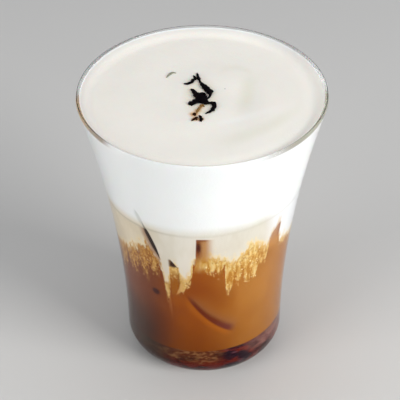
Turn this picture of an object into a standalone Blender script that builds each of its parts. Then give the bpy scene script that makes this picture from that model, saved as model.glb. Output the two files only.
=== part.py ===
"""Iced milk tea in a flared glass: a solid for the glass, each layer of the drink and each curl of leaf.

Metres, +Z up, the origin at the middle of the glass's foot on the table. The front is -Y.
Angles round the glass are in degrees from the front, growing towards +X.
"""

import math
import random

import bmesh
import bpy
from mathutils import Vector

# The glass
GLASS_HEIGHT = 0.112
RIM_RADIUS = 0.0452
HEEL_RADIUS = 0.0295
HEEL_ROUND = 0.0085
FLARE_POWER = 1.84
WALL = 0.0013
FLOOR_HEIGHT = 0.0018
INNER_ROUND = 0.0072

# The drink: heights above the table at the middle, and how far the layers rise towards +X
SYRUP_TOP = 0.0140
SYRUP_SLOPE = 0.03
CREAM_TOP = 0.0746
CREAM_SLOPE = 0.06
CREAM_ROOT = 0.062
CREAM_MIDDLE = 0.060
FOAM_TOP = GLASS_HEIGHT - 0.003
MENISCUS_RISE = 0.0023
MENISCUS_WIDTH = 0.0042
MENISCUS_POWER = 2.2
SWIRL_DEPTH = 0.00012
DIP_DEPTH = 0.0005
RIDGE_HEIGHT = 0.0003

# Clearance between solids that touch in the real drink
GAP = 0.0003
DRIP_GAP = 0.0006

# Drips of cream down the wall: middle, width to the left and to the right in degrees, height of the tip
FRONT_DRIPS = (
    (-67.0, 12.0, 9.0, 0.0450),
    (-53.0, 8.0, 8.0, 0.0476),
    (-42.0, 7.0, 7.0, 0.0500),
    (-34.0, 6.0, 5.0, 0.0526),
    (-24.9, 3.6, 3.0, 0.0402),
    (-19.4, 5.0, 5.0, 0.0562),
    (-15.6, 1.6, 7.0, 0.0432),
    (-10.0, 4.0, 3.4, 0.0485),
    (0.8, 2.6, 6.0, 0.0544),
    (8.8, 5.0, 5.0, 0.0548),
    (15.8, 2.8, 6.0, 0.0438),
    (23.6, 6.0, 4.0, 0.0496),
    (30.0, 5.0, 4.5, 0.0456),
    (34.6, 4.5, 4.0, 0.0464),
    (41.0, 6.0, 4.5, 0.0533),
    (62.0, 8.0, 9.0, 0.0570),
    (77.0, 10.0, 9.0, 0.0520),
)
DRIP_POWER = 2.4
# Tongues of tea between the drips: middle, width to the left and to the right, height of the top
FRONT_TONGUES = ((-2.0, 3.2, 3.2, 0.0731), (51.0, 6.8, 3.0, 0.0706))
TONGUE_POWER = 3.0
BACK_START, BACK_END = 90.0, 282.0
BACK_SEED = 11

# Shares of the radius where the drips' surface has a ring: it is level up to the first
DRIP_RINGS = (0.45, 0.68, 0.84, 1.0)

GLASS_SEGMENTS = 64
LAYER_SEGMENTS = 120
LEAF_SIDES = 6


def clear_scene():
    for obj in list(bpy.data.objects):
        bpy.data.objects.remove(obj, do_unlink=True)


def material(name, colour, roughness, metallic=0.0, transmission=0.0):
    made = bpy.data.materials.new(name)
    made.use_nodes = True
    shader = made.node_tree.nodes["Principled BSDF"]
    shader.inputs["Base Color"].default_value = (*colour, 1.0)
    shader.inputs["Roughness"].default_value = roughness
    shader.inputs["Metallic"].default_value = metallic
    shader.inputs["Transmission Weight"].default_value = transmission
    return made


def smooth(share):
    share = min(max(share, 0.0), 1.0)
    return share * share * (3.0 - 2.0 * share)


def outer_radius(height):
    """The glass outside: a round heel, then a flare that opens by a power of the height."""
    if height >= HEEL_ROUND:
        share = (height - HEEL_ROUND) / (GLASS_HEIGHT - HEEL_ROUND)
        return HEEL_RADIUS + (RIM_RADIUS - HEEL_RADIUS) * share**FLARE_POWER
    drop = HEEL_ROUND - height
    return HEEL_RADIUS - HEEL_ROUND + math.sqrt(HEEL_ROUND**2 - drop**2)


def inner_radius(height):
    """The glass inside, with its own smaller round at the floor."""
    top_of_round = FLOOR_HEIGHT + INNER_ROUND
    if height >= top_of_round:
        return outer_radius(height) - WALL
    drop = top_of_round - max(height, FLOOR_HEIGHT)
    return outer_radius(top_of_round) - WALL - INNER_ROUND + math.sqrt(INNER_ROUND**2 - drop**2)


def between(low, high, count):
    """count heights from low to high, both ends among them."""
    return [low + (high - low) * step / (count - 1) for step in range(count)]


def ring(radius, height, segments):
    """One level circle, anticlockwise from above, starting at the front."""
    turn = 2.0 * math.pi / segments
    return [
        Vector((radius * math.sin(turn * i), -radius * math.cos(turn * i), height))
        for i in range(segments)
    ]


def solid_from_rings(name, rings, look):
    """A closed solid skinned over a row of rings that starts and ends in one point.

    The rings run out along the underside, up the outside and back in over the top.
    A quad is cut the same way on both sides of a gap, so that facing solids stay parallel.
    """
    bm = bmesh.new()
    rows = [[bm.verts.new(point) for point in points] for points in rings]
    for lower, upper in zip(rows, rows[1:]):
        count = max(len(lower), len(upper))
        inward = upper[0].co.xy.length < lower[0].co.xy.length
        for i in range(count):
            j = (i + 1) % count
            if len(lower) == 1:
                bm.faces.new((lower[0], upper[j], upper[i]))
            elif len(upper) == 1:
                bm.faces.new((lower[i], lower[j], upper[0]))
            elif inward:
                bm.faces.new((lower[i], lower[j], upper[i]))
                bm.faces.new((lower[j], upper[j], upper[i]))
            else:
                bm.faces.new((lower[i], lower[j], upper[j]))
                bm.faces.new((lower[i], upper[j], upper[i]))
    mesh = bpy.data.meshes.new(name)
    bm.to_mesh(mesh)
    bm.free()
    mesh.materials.append(look)
    mesh.shade_smooth()
    mesh.set_sharp_from_angle(angle=math.radians(50.0))
    obj = bpy.data.objects.new(name, mesh)
    bpy.context.collection.objects.link(obj)
    return obj


def turned_rings(profile, segments):
    """Rings from a profile of (radius, height) points; a radius of 0 gives one point."""
    return [
        ring(radius, height, segments) if radius > 0.0 else [Vector((0.0, 0.0, height))]
        for radius, height in profile
    ]


def make_glass(look):
    foot_radius = HEEL_RADIUS - HEEL_ROUND
    heel = [
        (foot_radius + HEEL_ROUND * math.sin(angle), HEEL_ROUND * (1.0 - math.cos(angle)))
        for angle in between(0.0, math.pi / 2.0, 6)
    ]
    lip = WALL / 2.0
    flare = [(outer_radius(z), z) for z in between(HEEL_ROUND, GLASS_HEIGHT - lip, 9)[1:]]
    lip_middle = outer_radius(GLASS_HEIGHT - lip) - lip
    bead = [
        (lip_middle + lip * math.cos(angle), GLASS_HEIGHT - lip + lip * math.sin(angle))
        for angle in between(0.0, math.pi, 7)[1:-1]
    ]
    bore_foot = FLOOR_HEIGHT + INNER_ROUND
    bore = [(inner_radius(z), z) for z in between(GLASS_HEIGHT - lip, bore_foot, 9)]
    inner_heel = [
        (
            inner_radius(bore_foot) - INNER_ROUND * (1.0 - math.cos(angle)),
            bore_foot - INNER_ROUND * math.sin(angle),
        )
        for angle in between(0.0, math.pi / 2.0, 5)[1:]
    ]
    profile = [(0.0, 0.0)] + heel + flare + bead + bore + inner_heel + [(0.0, FLOOR_HEIGHT)]
    return solid_from_rings("glass", turned_rings(profile, GLASS_SEGMENTS), look)


def back_drips():
    """The drips on the side that doesn't show, by the same habit and the same sizes."""
    draw = random.Random(BACK_SEED)
    drips, tongues = [], []
    angle = BACK_START
    while angle < BACK_END:
        width = draw.uniform(4.5, 8.0)
        drips.append((angle, width, width, draw.uniform(0.043, 0.055)))
        angle += width * draw.uniform(1.1, 1.5)
        if draw.random() < 0.2:
            tongues.append((angle, 8.0, 9.0, draw.uniform(0.063, 0.065)))
    return drips, tongues


def share_of_width(angle, middle, left_width, right_width):
    """0 at a drip's middle and 1 at its side."""
    apart = (angle - middle + 180.0) % 360.0 - 180.0
    return apart / right_width if apart > 0.0 else -apart / left_width


def cream_edge(angle, drips, tongues):
    """The height of the cream's lower edge at the wall."""
    height = CREAM_ROOT
    for middle, left_width, right_width, tip in drips:
        share = share_of_width(angle, middle, left_width, right_width)
        if share < 1.0:
            height = min(height, tip + (CREAM_ROOT - tip) * share**DRIP_POWER)
    for middle, left_width, right_width, top in tongues:
        share = share_of_width(angle, middle, left_width, right_width)
        if share < 1.0:
            height = max(height, top - (top - height) * share**TONGUE_POWER)
    return height


def slanted_ring(middle_height, slope, lift, segments):
    """Where a layer's slightly slanted top meets the bore, lifted a little for its clearance."""
    points = ring(1.0, 0.0, segments)
    for i, point in enumerate(points):
        height = middle_height
        for _ in range(4):
            height = middle_height + slope * inner_radius(height) * point.x
        radius = inner_radius(height + lift) - GAP
        points[i] = Vector((radius * point.x, radius * point.y, height + lift))
    return points


def drip_surface(drips, tongues):
    """The rings where cream meets tea, from the middle out to the wall.

    The cream stands level in the middle and hangs down in drips near the wall.
    """
    rings = [[Vector((0.0, 0.0, CREAM_MIDDLE))]]
    for share in DRIP_RINGS:
        points = ring(1.0, 0.0, LAYER_SEGMENTS)
        for i, point in enumerate(points):
            edge = cream_edge(360.0 * i / LAYER_SEGMENTS, drips, tongues)
            height = CREAM_MIDDLE + (edge - CREAM_MIDDLE) * smooth((share - DRIP_RINGS[0]) / 0.5)
            radius = share * (inner_radius(edge) - GAP)
            points[i] = Vector((radius * point.x, radius * point.y, height))
        rings.append(points)
    return rings


def wall_rings(lower, upper, count):
    """Rings up the bore between two rings, following the flare of the wall."""
    rings = []
    for step in range(1, count):
        points = []
        for low, high in zip(lower, upper):
            height = low.z + (high.z - low.z) * step / count
            direction = Vector((high.x, high.y, 0.0)).normalized()
            points.append(direction * (inner_radius(height) - GAP) + Vector((0.0, 0.0, height)))
        rings.append(points)
    return rings


def make_cream(surface, look):
    top = slanted_ring(CREAM_TOP, CREAM_SLOPE, -GAP, LAYER_SEGMENTS)
    rings = surface + wall_rings(surface[-1], top, 3) + [top]
    rings.append([Vector((0.0, 0.0, CREAM_TOP - GAP))])
    return solid_from_rings("cream_layer", rings, look)


def make_tea(surface, look):
    bottom = slanted_ring(SYRUP_TOP, SYRUP_SLOPE, GAP, LAYER_SEGMENTS)
    lowered = [[point - Vector((0.0, 0.0, DRIP_GAP)) for point in points] for points in surface]
    rings = [[Vector((0.0, 0.0, SYRUP_TOP + GAP))], bottom]
    rings += wall_rings(bottom, lowered[-1], 4) + lowered[::-1]
    return solid_from_rings("tea", rings, look)


def make_syrup(look):
    """The dark layer that has settled on the glass's floor."""
    top = slanted_ring(SYRUP_TOP, SYRUP_SLOPE, 0.0, LAYER_SEGMENTS)
    rings = [[Vector((0.0, 0.0, FLOOR_HEIGHT + GAP))]]
    for share in between(0.0, 1.0, 6)[:-1]:
        points = ring(1.0, 0.0, LAYER_SEGMENTS)
        for i, point in enumerate(points):
            height = FLOOR_HEIGHT + (top[i].z - FLOOR_HEIGHT) * share**2
            radius = inner_radius(height) - GAP
            points[i] = Vector((radius * point.x, radius * point.y, height + GAP * (1.0 - share)))
        rings.append(points)
    rings += [top, [Vector((0.0, 0.0, SYRUP_TOP))]]
    return solid_from_rings("dark_base_layer", rings, look)


def foam_height(x, y):
    """The foam's top: a soft swirl, a shallow dip beside the leaves, and a rise at the wall."""
    reach = math.hypot(x, y)
    turn = math.atan2(y, x)
    swirl = SWIRL_DEPTH * math.cos(2.0 * turn + 260.0 * reach)
    dip = -DIP_DEPTH * math.exp(-(((x - 0.016) / 0.006) ** 2 + ((y - 0.001) / 0.009) ** 2))
    ridge = RIDGE_HEIGHT * math.exp(-(((x - 0.022) / 0.004) ** 2 + ((y + 0.001) / 0.010) ** 2))
    wall = inner_radius(FOAM_TOP) - GAP
    climb = max(0.0, 1.0 - (wall - reach) / MENISCUS_WIDTH)
    return FOAM_TOP + (swirl + dip + ridge) * (1.0 - climb) + MENISCUS_RISE * climb**MENISCUS_POWER


def make_foam(look):
    bottom = slanted_ring(CREAM_TOP, CREAM_SLOPE, 0.0, GLASS_SEGMENTS)
    edge_height = FOAM_TOP + MENISCUS_RISE
    edge = ring(inner_radius(edge_height) - GAP, edge_height, GLASS_SEGMENTS)
    rings = [[Vector((0.0, 0.0, CREAM_TOP))], bottom] + wall_rings(bottom, edge, 5) + [edge]
    wall = inner_radius(FOAM_TOP) - GAP
    steps = [wall - MENISCUS_WIDTH * share for share in (0.25, 0.55, 1.0)]
    steps += [(wall - MENISCUS_WIDTH) * share for share in (0.88, 0.76, 0.64, 0.52, 0.4, 0.26, 0.12)]
    for radius in steps:
        points = ring(radius, 0.0, GLASS_SEGMENTS)
        rings.append([Vector((p.x, p.y, foam_height(p.x, p.y))) for p in points])
    rings.append([Vector((0.0, 0.0, foam_height(0.0, 0.0)))])
    return solid_from_rings("milk_foam", rings, look)


def curve_through(points, count):
    """count points on a smooth curve through a few given ones."""
    ends = [points[0] * 2.0 - points[1]] + points + [points[-1] * 2.0 - points[-2]]
    found = []
    for share in between(0.0, len(points) - 1.0, count):
        part = min(int(share), len(points) - 2)
        t = share - part
        a, b, c, d = ends[part : part + 4]
        found.append(
            0.5 * ((2.0 * b) + (c - a) * t + (2.0 * a - 5.0 * b + 4.0 * c - d) * t * t
                   + (3.0 * b - a - 3.0 * c + d) * t**3)
        )
    return found


def curled_strip(name, route, width, thickness, look, turn=0.0):
    """A rolled strip of leaf lying on the foam along a route of (x, y) points in millimetres.

    It tapers at both ends and twists by turn from end to end.
    """
    spine = curve_through([Vector((x / 1000.0, y / 1000.0, 0.0)) for x, y in route], 2 * len(route) + 1)
    last = len(spine) - 1
    rings = []
    for i, point in enumerate(spine):
        share = i / last
        along = (spine[min(i + 1, last)] - spine[max(i - 1, 0)]).normalized()
        across = Vector((-along.y, along.x, 0.0))
        fullness = math.sin(math.pi * min(max(share, 0.03), 0.97)) ** 0.6
        half_width = 0.5 * width * fullness
        half_height = 0.5 * thickness * (0.35 + 0.65 * fullness)
        ground = max(
            foam_height(point.x + across.x * side * half_width, point.y + across.y * side * half_width)
            for side in (-1.0, 0.0, 1.0)
        )
        roll = turn * (share - 0.5)
        reach = abs(half_width * math.sin(roll)) + half_height
        middle = Vector((point.x, point.y, ground + GAP + reach))
        loop = []
        for side in range(LEAF_SIDES):
            angle = 2.0 * math.pi * side / LEAF_SIDES
            wide, high = half_width * math.cos(angle), half_height * math.sin(angle)
            loop.append(
                middle
                + across * (wide * math.cos(roll) - high * math.sin(roll))
                + Vector((0.0, 0.0, wide * math.sin(roll) + high * math.cos(roll)))
            )
        rings.append([middle] if i in (0, last) else loop)
    return solid_from_rings(name, rings, look)


def joined(name, parts):
    """One solid from several that overlap, by a Boolean union on a collection."""
    parts[0].name = name
    parts[0].data.name = name
    if len(parts) == 1:
        return
    group = bpy.data.collections.new(name + "_parts")
    for part in parts[1:]:
        bpy.context.collection.objects.unlink(part)
        group.objects.link(part)
    body = parts[0]
    union = body.modifiers.new("Union", "BOOLEAN")
    union.operand_type = "COLLECTION"
    union.collection = group
    union.operation = "UNION"
    union.solver = "EXACT"
    graph = bpy.context.evaluated_depsgraph_get()
    mesh = bpy.data.meshes.new_from_object(body.evaluated_get(graph))
    body.modifiers.clear()
    body.data = mesh
    mesh.name = name
    for part in parts[1:]:
        bpy.data.objects.remove(part, do_unlink=True)
    bpy.data.collections.remove(group)


def make_leaf(name, strips, look):
    """One solid from strips given as a route, width, thickness and twist."""
    parts = []
    for number, (route, width, thickness, turn) in enumerate(strips):
        parts.append(curled_strip(f"{name}_{number}", route, width, thickness, look, turn))
    joined(name, parts)


def make_leaves(dark, brown, pale):
    """The pinch of curled black leaf on the middle of the foam, with its stalk and crumbs."""
    make_leaf("leaf_upper", (
        (((-0.9, 11.2), (0.2, 8.4), (1.6, 6.0), (2.8, 4.2), (2.9, 2.0), (1.9, 0.3)), 0.0021, 0.0012, 0.4),
        (((-6.6, 9.7), (-5.2, 9.2), (-3.7, 10.3), (-2.3, 12.4), (-1.4, 13.8)), 0.0013, 0.0010, 0.2),
        (((-1.8, 16.8), (-1.5, 13.9), (-0.6, 9.9)), 0.0010, 0.0009, 0.0),
    ), dark)
    make_leaf("leaf_cluster", (
        (((-4.0, 6.0), (-2.5, 3.5), (-1.2, 1.6), (0.2, -0.8), (1.4, -2.8)), 0.0034, 0.0016, 0.3),
        (((-5.2, -2.6), (-4.1, -3.0), (-3.0, -2.8), (-1.6, -1.6), (0.4, -1.0)), 0.0022, 0.0014, 0.2),
        (((0.1, -1.2), (2.2, -3.0), (3.6, -3.2), (4.3, -4.8), (3.9, -6.6), (2.8, -8.3), (1.0, -9.5)),
         0.0021, 0.0012, 0.4),
    ), dark)
    make_leaf("leaf_stalk", ((((-0.3, -4.6), (-1.1, -6.2), (-2.3, -9.2)), 0.0011, 0.0009, 0.0),), brown)
    make_leaf("leaf_bit_left", ((((-1.9, -11.5), (-2.8, -12.5), (-3.8, -13.6)), 0.0012, 0.0010, 0.0),), brown)
    make_leaf("leaf_bit_right", ((((-1.0, -10.9), (-0.5, -12.4), (-0.8, -14.1)), 0.0013, 0.0010, 0.0),), dark)
    make_leaf("leaf_sliver", ((((-12.9, 14.1), (-11.6, 16.1), (-9.8, 17.4)), 0.0009, 0.0006, 0.0),), pale)


def main():
    clear_scene()
    drips, tongues = back_drips()
    surface = drip_surface(list(FRONT_DRIPS) + drips, list(FRONT_TONGUES) + tongues)
    make_glass(material("clear_glass", (0.95, 0.97, 0.97), 0.02, transmission=1.0))
    make_syrup(material("dark_layer", (0.07, 0.012, 0.008), 0.25))
    make_tea(surface, material("milk_tea", (0.42, 0.17, 0.05), 0.3))
    make_cream(surface, material("cream", (0.74, 0.66, 0.52), 0.4))
    make_foam(material("foam", (0.86, 0.85, 0.82), 0.6))
    make_leaves(
        material("black_leaf", (0.012, 0.010, 0.010), 0.5),
        material("brown_leaf", (0.16, 0.07, 0.02), 0.55),
        material("pale_leaf", (0.35, 0.35, 0.26), 0.6),
    )


main()
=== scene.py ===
"""Iced milk tea in a flared glass: the glass, each layer of the drink, its froth and the pinch of leaves.

Metres, +Z up, in the frame's own axes. The front is -Y. Angles round the glass are in degrees
from the front, growing towards +X, and painted features give heights in millimetres.
"""

import math
import random

import bpy
from mathutils import Matrix, Vector, noise


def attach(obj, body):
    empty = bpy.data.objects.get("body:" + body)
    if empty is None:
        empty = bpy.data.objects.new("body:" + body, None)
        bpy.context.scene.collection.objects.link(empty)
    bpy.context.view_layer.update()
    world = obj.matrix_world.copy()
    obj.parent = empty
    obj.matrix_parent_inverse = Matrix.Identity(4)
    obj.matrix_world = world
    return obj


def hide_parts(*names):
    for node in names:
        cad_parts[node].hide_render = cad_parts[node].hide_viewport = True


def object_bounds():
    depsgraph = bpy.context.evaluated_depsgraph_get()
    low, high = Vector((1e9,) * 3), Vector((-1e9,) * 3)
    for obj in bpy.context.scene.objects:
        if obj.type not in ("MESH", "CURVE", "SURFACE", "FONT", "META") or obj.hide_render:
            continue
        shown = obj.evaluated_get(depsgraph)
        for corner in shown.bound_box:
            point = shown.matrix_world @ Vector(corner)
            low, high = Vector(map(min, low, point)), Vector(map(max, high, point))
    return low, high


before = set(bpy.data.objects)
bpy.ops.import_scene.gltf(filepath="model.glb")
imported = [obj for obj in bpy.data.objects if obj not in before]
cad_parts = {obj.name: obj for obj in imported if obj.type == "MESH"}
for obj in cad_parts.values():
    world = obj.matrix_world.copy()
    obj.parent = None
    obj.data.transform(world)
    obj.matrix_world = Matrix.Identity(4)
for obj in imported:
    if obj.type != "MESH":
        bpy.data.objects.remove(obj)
cad_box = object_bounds()

# The glass, as in the part
GLASS_HEIGHT = cad_box[1][2]
RIM_RADIUS = 0.0452
HEEL_RADIUS = 0.0295
HEEL_ROUND = 0.0085
FLARE_POWER = 1.84
WALL = 0.0013
FLOOR_HEIGHT = 0.0018
INNER_ROUND = 0.0072
GLASS_SEGMENTS = 192

# The drink: heights at the middle, and how far the layers rise towards +X
SYRUP_TOP = 0.0140
SYRUP_SLOPE = 0.03
CREAM_TOP = 0.0746
CREAM_SLOPE = 0.06
CREAM_ROOT = 0.062
CREAM_MIDDLE = 0.060
FOAM_TOP = GLASS_HEIGHT - 0.003
MENISCUS_RISE = 0.0023
MENISCUS_WIDTH = 0.0042
MENISCUS_POWER = 2.2

# The cream's lower face: level inside one share of the radius, bent down to the drips over the next
LEVEL_SHARE = 0.45
BEND_SHARE = 0.5
SURFACE_SHARES = (0.3, 0.5, 0.66, 0.78, 0.88, 0.95, 1.0)

# How far the drink reaches into the glass, so that no air shows between them
REACH = 0.00012

# Points round the drink, and rows of them up the wall and over the foam's rise and top
DRINK_SEGMENTS = 720
WALL_ROWS = 40
SYRUP_ROWS = 16
FOAM_ROWS = 24
RISE_ROWS = 9
TOP_ROWS = 44

# One degree round the wall of the tea, and the dark layer's depth on its axis, in millimetres
TEA_DEGREE = 0.497
AXIS_DEPTH = 6.0

# Drips of cream down the wall: middle, width to the left and to the right, height of the tip
FRONT_DRIPS = (
    (-67.0, 12.0, 9.0, 0.0450),
    (-53.0, 8.0, 8.0, 0.0476),
    (-42.0, 7.0, 7.0, 0.0500),
    (-34.0, 6.0, 5.0, 0.0526),
    (-24.9, 3.6, 3.0, 0.0402),
    (-19.4, 5.0, 5.0, 0.0562),
    (-15.6, 1.6, 7.0, 0.0432),
    (-10.0, 4.0, 3.4, 0.0485),
    (0.8, 2.6, 6.0, 0.0544),
    (8.8, 5.0, 5.0, 0.0548),
    (15.8, 2.8, 6.0, 0.0438),
    (23.6, 6.0, 4.0, 0.0496),
    (30.0, 5.0, 4.5, 0.0456),
    (34.6, 4.5, 4.0, 0.0464),
    (41.0, 6.0, 4.5, 0.0533),
    (62.0, 8.0, 9.0, 0.0570),
    (77.0, 10.0, 9.0, 0.0520),
)
DRIP_POWER = 2.4
# Tongues of tea between the drips: middle, width to the left and to the right, height of the top
FRONT_TONGUES = ((-2.0, 3.2, 3.2, 0.0731), (51.0, 6.8, 3.0, 0.0706))
TONGUE_POWER = 3.0

# The drips at the back: least and most of the width, the tip's height and the step to the next drip
BACK_START, BACK_END = 90.0, 282.0
BACK_SEED = 11
BACK_WIDTHS = (4.5, 8.0)
BACK_TIPS = (0.043, 0.055)
BACK_STEPS = (1.1, 1.5)
BACK_TONGUE_CHANCE = 0.2
BACK_TONGUE_SIDES = (8.0, 9.0)
BACK_TONGUE_TOPS = (0.063, 0.065)

# The unevenness of the drips' edge: size of the coarse and the fine streaks, and their number round
COARSE_STREAKS = (0.0010, 9.0)
FINE_STREAKS = (0.0009, 30.0)

# Where clean cream turns to froth, as angle and height, and the froth's usual depth at the back
FROTH_LINE = (
    (-90.0, 55.0), (-66.0, 56.0), (-57.0, 57.0), (-50.0, 59.5), (-43.0, 63.5), (-37.5, 66.0),
    (-32.0, 62.5), (-29.2, 57.0), (-28.0, 51.5), (-25.3, 49.0), (-23.2, 51.0), (-22.4, 57.0),
    (-16.4, 57.0), (-15.6, 53.0), (-12.5, 50.5), (-9.6, 54.0), (-7.0, 60.0), (-5.0, 64.0),
    (3.0, 63.5), (10.0, 63.0), (17.5, 59.5), (24.0, 62.0), (29.0, 66.0),
    (34.0, 65.5), (40.0, 63.0), (43.0, 62.5), (45.5, 66.5), (48.8, 70.3), (51.6, 71.2),
    (52.8, 67.5), (53.6, 62.0), (56.0, 60.0), (62.0, 59.5), (80.0, 56.0), (90.0, 57.0),
)
BACK_FROTH_DEPTH = 7.0

# The band that carries the bubbles: its rows, its least height and how far it starts under the edge
BAND_ROWS = 8
BAND_LEAST = 0.001
BAND_DROP = 0.0004

# The leaves: points round a strip, and how much its width and its surface vary
LEAF_SIDES = 20
LEAF_TORN = 0.55
LEAF_CREASES = 0.45
LEAF_RIBS = 0.3
LEAF_SWAY = 0.10

# The camera, fitted to the glass's outline in the photograph
CAMERA_DISTANCE = 0.700
CAMERA_PITCH = 0.6581
CAMERA_ROLL = 0.0113
CAMERA_SIDEWAYS = -0.00120
CAMERA_LIFT = 0.00598
CAMERA_LENS = 168.4
CAMERA_SENSOR = 36.0

# The floor's half side, and how far it lies under the foot
FLOOR_HALF = 6.0
FLOOR_GAP = 0.0003

# Light: each lamp's name, place, size, power and tint, the point they aim at, and the studio around
LAMPS = (
    ("key_right", (0.63, -0.44, 0.50), 0.45, 5.9, (1.0, 0.99, 0.975)),
    ("fill_left", (-0.67, -0.47, 0.44), 0.5, 3.1, (1.0, 0.995, 0.98)),
    ("top", (0.0, 0.25, 0.9), 0.6, 0.9, (1.0, 1.0, 1.0)),
)
LAMP_AIM = (0.0, 0.0, 0.06)
STUDIO_COLOUR = (0.92, 0.95, 1.0, 1.0)
STUDIO_STRENGTH = 0.34


# Node trees written as sums

class Wire:
    """A socket that can be used in a sum: each operator adds its Math node."""

    def __init__(self, tree, socket):
        self.tree = tree
        self.socket = socket

    def output(self, name):
        """Another output of the same node."""
        return Wire(self.tree, self.socket.node.outputs[name])

    def sum(self, operation, *others):
        values = dict(enumerate((self, *others)))
        return self.tree.node("ShaderNodeMath", {"operation": operation}, values)

    def __add__(self, other):
        return self.sum("ADD", other)

    __radd__ = __add__

    def __sub__(self, other):
        return self.sum("SUBTRACT", other)

    def __rsub__(self, other):
        return self.tree.node("ShaderNodeMath", {"operation": "SUBTRACT"}, {0: other, 1: self})

    def __mul__(self, other):
        return self.sum("MULTIPLY", other)

    __rmul__ = __mul__

    def __truediv__(self, other):
        return self.sum("DIVIDE", other)

    def __pow__(self, other):
        return self.sum("POWER", other)

    def __neg__(self):
        return self.sum("MULTIPLY", -1.0)

    def root(self):
        return self.sum("SQRT")

    def size(self):
        return self.sum("ABSOLUTE")

    def most(self, other):
        return self.sum("MAXIMUM", other)

    def between(self, start, end, low=0.0, high=1.0):
        """low at start, high at end, smooth in between and steady outside."""
        return self.tree.node(
            "ShaderNodeMapRange",
            {"interpolation_type": "SMOOTHSTEP"},
            {"Value": self, "From Min": start, "From Max": end, "To Min": low, "To Max": high},
        )

    def within(self, start, full, fading, end):
        """0 outside start and end, 1 from full to fading, smooth in between."""
        return self.between(start, full) * self.between(end, fading)


class Tree:
    """A node tree under construction."""

    def __init__(self, tree):
        self.tree = tree

    def node(self, kind, settings=None, sockets=None, output=0):
        """One node: its settings first, then a value or a wire for each named socket."""
        made = self.tree.nodes.new(kind)
        for name, value in (settings or {}).items():
            setattr(made, name, value)
        for name, value in (sockets or {}).items():
            self.feed(made.inputs[name], value)
        return Wire(self, made.outputs[output])

    def feed(self, socket, value):
        if isinstance(value, Wire):
            self.tree.links.new(value.socket, socket)
        else:
            socket.default_value = value


class Finish(Tree):
    """A material under construction: a Principled shader and the piece's own coordinates."""

    def __init__(self, name, shader):
        self.material = bpy.data.materials.new(name)
        self.material.use_nodes = True
        super().__init__(self.material.node_tree)
        self.shader = self.tree.nodes["Principled BSDF"]
        for socket, value in shader.items():
            self.shader.inputs[socket].default_value = value
        self.place = self.node("ShaderNodeTexCoord", output="Object")
        parts = self.node("ShaderNodeSeparateXYZ", sockets={0: self.place})
        self.x = parts.output("X") * 1000.0
        self.y = parts.output("Y") * 1000.0
        self.z = parts.output("Z") * 1000.0
        self.angle = self.x.sum("ARCTAN2", -self.y) * math.degrees(1.0)

    def mark(self, name):
        """A number stored on the mesh's points."""
        return self.node("ShaderNodeAttribute", {"attribute_name": name}, output="Fac")

    def mapped(self, size, stretch, seed):
        """The piece's coordinates, counted in blotches of a size and moved to a place of their own."""
        scale = tuple(1.0 / (size * axis) for axis in stretch)
        return self.node(
            "ShaderNodeMapping", {"vector_type": "POINT"},
            {"Vector": self.place, "Location": (seed * 3.1, seed * 1.7, seed * 0.9), "Scale": scale},
        )

    def clouds(self, size, stretch=(1.0, 1.0, 1.0), detail=2.0, seed=0.0):
        """Soft noise around 0.5, with blotches of about size metres."""
        return self.node(
            "ShaderNodeTexNoise", {"noise_dimensions": "3D"},
            {"Vector": self.mapped(size, stretch, seed), "Scale": 1.0, "Detail": detail, "Roughness": 0.55},
        )

    def cells(self, size, stretch=(1.0, 1.0, 1.0), seed=0.0):
        """The distance to the nearest of many scattered points, in cells of about size metres."""
        return self.node(
            "ShaderNodeTexVoronoi", {"feature": "F1"},
            {"Vector": self.mapped(size, stretch, seed), "Scale": 1.0},
            output="Distance",
        )

    def blend(self, first, second, share):
        """From the first colour to the second. A plain colour is given in 8-bit screen values."""
        first, second = (paint(*tint) if isinstance(tint, tuple) else tint for tint in (first, second))
        return self.node("ShaderNodeMix", {"data_type": "RGBA"}, {0: share, 6: first, 7: second}, output=2)

    def over(self, colour, *layers):
        """A colour with others laid over it in turn, each with its share."""
        for tint, share in layers:
            colour = self.blend(colour, tint, share)
        return colour

    def colour(self, value):
        self.feed(self.shader.inputs["Base Color"], value)

    def rough(self, value):
        self.feed(self.shader.inputs["Roughness"], value)

    def relief(self, height, depth, strength=1.0):
        sockets = {"Height": height, "Distance": depth, "Strength": strength}
        self.feed(self.shader.inputs["Normal"], self.node("ShaderNodeBump", sockets=sockets))


def paint(red, green, blue):
    """A shader's colour from 8-bit screen values."""
    def linear(value):
        share = value / 255.0
        return share / 12.92 if share <= 0.04045 else ((share + 0.055) / 1.055) ** 2.4
    return (linear(red), linear(green), linear(blue), 1.0)


# Finishes

def distance(first, second):
    """How far two offsets at right angles to each other lead."""
    return (first ** 2.0 + second ** 2.0).root()


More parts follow.
